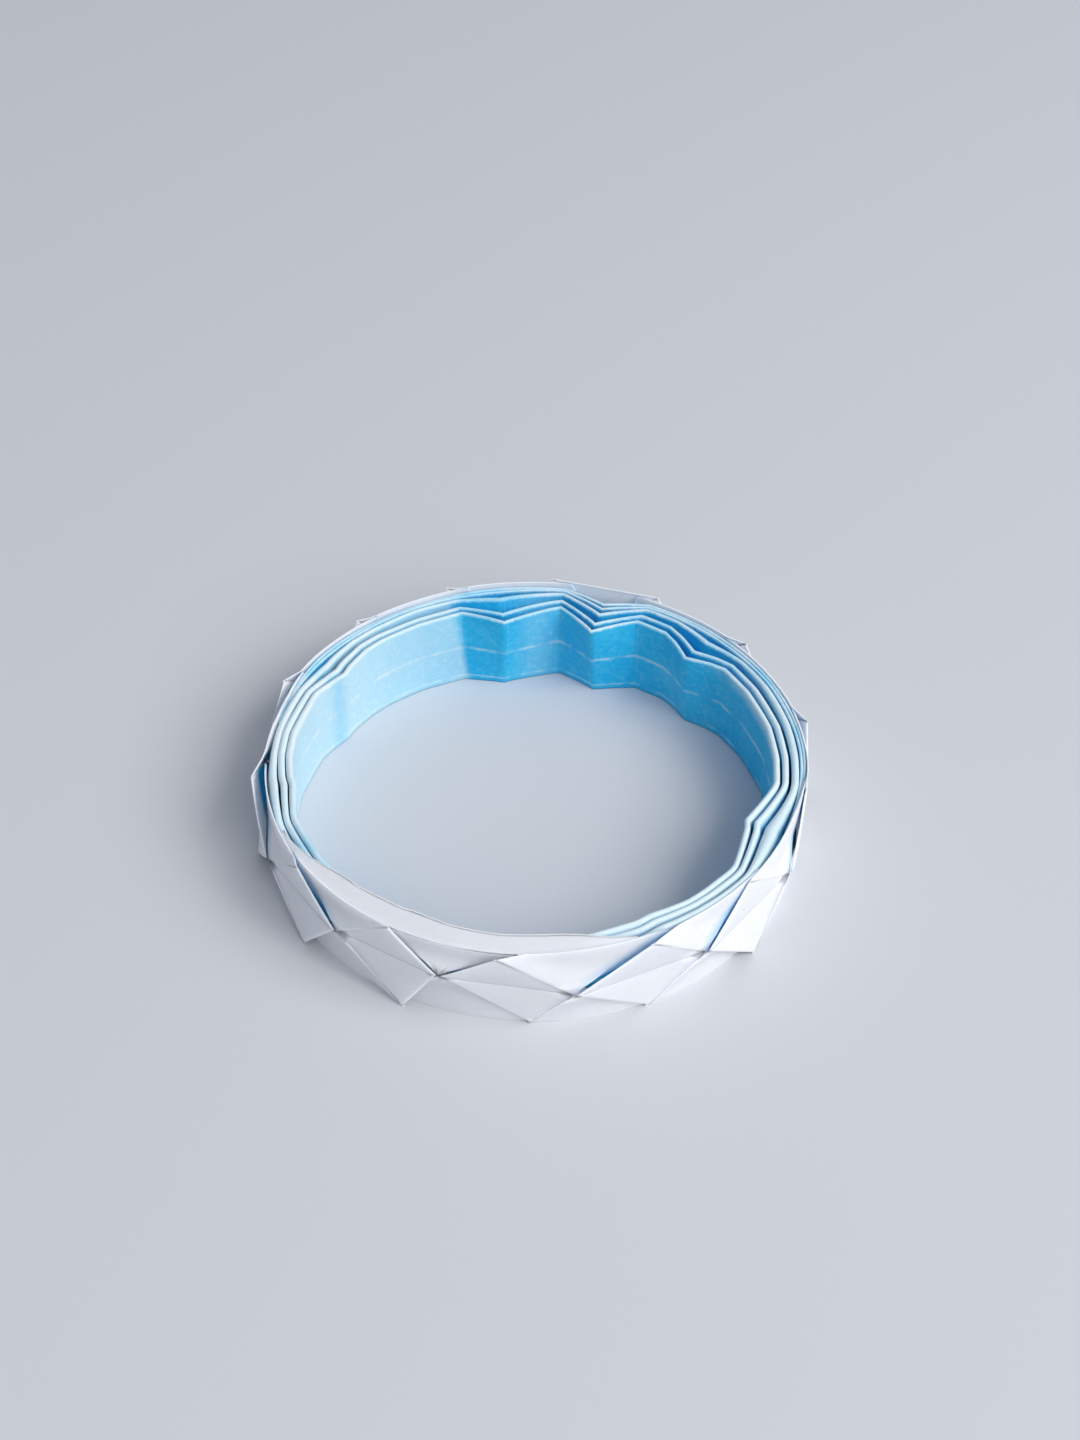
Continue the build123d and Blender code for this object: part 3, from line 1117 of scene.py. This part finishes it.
# %% Lay the triangles
def lay_triangle(start, corner, end, azimuth, side, edge, tucks):
    outwards = spot(azimuth, 1.0)
    corner_height = side_height(corner, start, end)
    end_height = side_height(end, start, corner)
    start_height = side_height(start, corner, end)
    shallow = 0.9 * (1 - smooth((abs(azimuth) - 20) / 45))
    sharp = 1 + 1.2 * smooth((abs(azimuth) - 45) / 30)
    rows = []
    for to_corner in across_shares:
        row = []
        for share in edge_shares(tucks):
            to_start = (1 - to_corner) * (1 - share)
            to_end = (1 - to_corner) * share
            point = start * to_start + corner * to_corner + end * to_end
            out = sheet + triangle_swell * face_scale * to_start * to_corner * to_end
            out -= 0.6 * rounding(to_corner * corner_height)
            folds = [far_off, to_corner * corner_height, far_off]
            # Depth inside the slit, which the material turns into painted bounce light and shade
            deep = no_depth
            over = 0.0
            if tucks[1]:
                deep = -to_start * start_height * sharp - shallow
            if tucks[0]:
                deep = max(deep, -to_end * end_height * sharp - shallow)
            else:
                out -= 0.7 * rounding(to_end * end_height)
                folds[0] = to_end * end_height
                over += over_lift * max(0.0, 1 - 1.6 * share)
            if not tucks[1]:
                out -= 0.7 * rounding(to_start * start_height)
                folds[2] = to_start * start_height
                over += over_lift * max(0.0, 1.6 * share - 0.6)
            place = seat(point + outwards * out, clearance + over)
            if tucks[0] and edge == height:
                place.z = min(place.z, height - 0.45 * covered(azimuth))
            row.append([place, folds, far_off, deep])
        if tucks[0]:
            tuck_under(row, 0, -side, to_corner)
        if tucks[1]:
            tuck_under(row, -1, side, to_corner)
        # Upper slits get painted blue bounce light, the others painted grey shade
        bluish = edge == height and not tucks[0]
        for mark in row:
            mark[3] = (mark[3], no_depth, 0.0) if bluish else (no_depth, mark[3], 0.0)
        rows.append(row)
    add_patch(rows)


for triangle in triangles:
    lay_triangle(*triangle)
print("triangles:", len(triangles), "and the strip has", len(strip_paper["faces"]), "faces now")

# %% [markdown]
# ### Laying the turned-over edge
# The edge that covers the pleats at the front is one narrow patch. It climbs from the outer face of
# the pleats to their inner face and bends down there. Rows across the band are enough, because it is
# nearly flat between its two ends, and towards its tapers they simply get shorter.

# %% Rows of the turned-over edge
# Share of the way inwards, and how far below the top the edge lies there
edge_line = ((0.0, 0.62), (0.04, 0.52), (0.10, 0.45), (0.25, 0.35), (0.45, 0.24), (0.65, 0.14),
             (0.82, 0.06), (0.92, 0.03), (0.97, 0.05), (0.99, 0.10), (1.0, 0.20), (1.0, 0.34))
least_reach = 0.08
turn_steps = 48


def inner_edge(azimuth):
    """Radius of the pleats' inner face just under the top."""
    return min(radius for radius, z, _ in profile(azimuth) if z > height - 1.2) - sheet / 2


def turned_edge(azimuth):
    """One row of points, from the outer face of the pleats to where the edge ends."""
    outer_end = rim_radius(azimuth) - 0.02
    reach = smooth((covered(azimuth) - press_share) / (1 - press_share))
    full_reach = inner_edge(azimuth) - clearance - outer_end
    inner_end = outer_end + full_reach * (least_reach + (1 - least_reach) * reach)
    row = []
    for share, drop in edge_line:
        place = spot(azimuth, outer_end + (inner_end - outer_end) * share, height - drop)
        row.append((place, (far_off, (1 - share) * 2.0, far_off)))
    return row


first_turn = cover_left + press_share * left_taper
last_turn = cover_right - press_share * right_taper
turned_rows = []
for step in range(turn_steps + 1):
    turned_rows.append(turned_edge(first_turn + (last_turn - first_turn) * step / turn_steps))
add_patch(turned_rows)
print("turned-over edge:", len(turned_rows), "rows")

# %% Make the outer strip and round the cut of the paper a little
outer = make_sheet("outer_strip", strip_paper, -1.0)
soft = outer.modifiers.new("soft edge", "BEVEL")
soft.width = 0.00004
soft.segments = 2
soft.limit_method = "ANGLE"
soft.angle_limit = math.radians(50)
print("edges rounded by", round(soft.width * 1000, 3), "mm")

# %% [markdown]
# ## Floor, light and camera
# A plain pale floor carries the shadow. It could be a bent backdrop, but the camera looks down and
# sees only floor, so a large plane is enough. Its colour is a little darker than the paper, so that
# the white folds stand out from it.

# %% Floor
bpy.ops.mesh.primitive_plane_add(size=4.0, location=(0, 0, ring_low.z))
floor = bpy.context.object
floor.name = "floor"
ground = bpy.data.materials.new("pale_floor")
ground.use_nodes = True
ground.node_tree.nodes["Principled BSDF"].inputs["Base Color"].default_value = (0.61, 0.62, 0.64, 1)
ground.node_tree.nodes["Principled BSDF"].inputs["Roughness"].default_value = 0.9
floor.data.materials.append(ground)
print("floor at z =", round(floor.location.z, 4))

# %% [markdown]
# The camera looks down from about 44 degrees, a little to the right of the ring's front. It could be
# placed by eye, but a photo is easier to match in its own units: the lens is a focal length in pixels
# of a picture 1440 pixels high, and the ring sits a little off the picture's middle, so the camera
# aims that many pixels past it.

# %% Camera
scene = bpy.context.scene
view_azimuth, view_height, view_distance = 17.5, 44.25, 0.273
picture_height, focal_pixels = 1440, 2390
aim_up, aim_right = 105.8, 8.4
sensor_height = 36.0


def direction(azimuth, elevation):
    """A step of length 1 from the ring's middle, this way round and this far up."""
    towards = spot(azimuth, math.cos(math.radians(elevation)))
    towards.z = math.sin(math.radians(elevation))
    return towards


middle = Vector(to_frame((0, 0, 0)))
back = direction(view_azimuth, view_height)
forward = -back
rightwards = forward.cross(Vector((0, 0, 1))).normalized()
upwards = rightwards.cross(forward)
aim = forward + upwards * (aim_up / focal_pixels) + rightwards * (aim_right / focal_pixels)
camera = bpy.data.objects.new("camera", bpy.data.cameras.new("camera"))
scene.collection.objects.link(camera)
camera.location = middle + back * view_distance
camera.rotation_euler = aim.to_track_quat("-Z", "Y").to_euler()
camera.data.sensor_fit = "VERTICAL"
camera.data.sensor_height = sensor_height
camera.data.lens = focal_pixels * sensor_height / picture_height
camera.data.clip_start = 0.01
scene.camera = camera
print("camera at", [round(value, 3) for value in camera.location], "lens", round(camera.data.lens, 1))

# %% [markdown]
# Two large soft lamps stand on the right and on the front right. They light the right-hand faces and
# the inside of the left-hand wall, and a pale bluish world fills the rest. Small lamps would give
# hard shadows between the folds, which paper in daylight doesn't show.


# %% Lamps and world
def lamp(name, azimuth, elevation, distance, size, power):
    data = bpy.data.lights.new(name, "AREA")
    data.shape = "SQUARE"
    data.size = size
    data.energy = power
    light = bpy.data.objects.new(name, data)
    scene.collection.objects.link(light)
    towards = direction(azimuth, elevation)
    light.location = middle + towards * distance
    light.rotation_euler = (-towards).to_track_quat("-Z", "Y").to_euler()
    print("lamp", name, "of", power, "W at", [round(value, 2) for value in light.location])


lamp("window", view_azimuth + 68, 44, 1.20, 0.72, 7.7)
lamp("room", view_azimuth + 36, 38, 1.40, 1.00, 9.6)
world = bpy.data.worlds.new("pale room")
scene.world = world
world.use_nodes = True
world.node_tree.nodes["Background"].inputs["Color"].default_value = (0.79, 0.865, 1.0, 1)
world.node_tree.nodes["Background"].inputs["Strength"].default_value = 0.42
scene.view_settings.view_transform = "Standard"
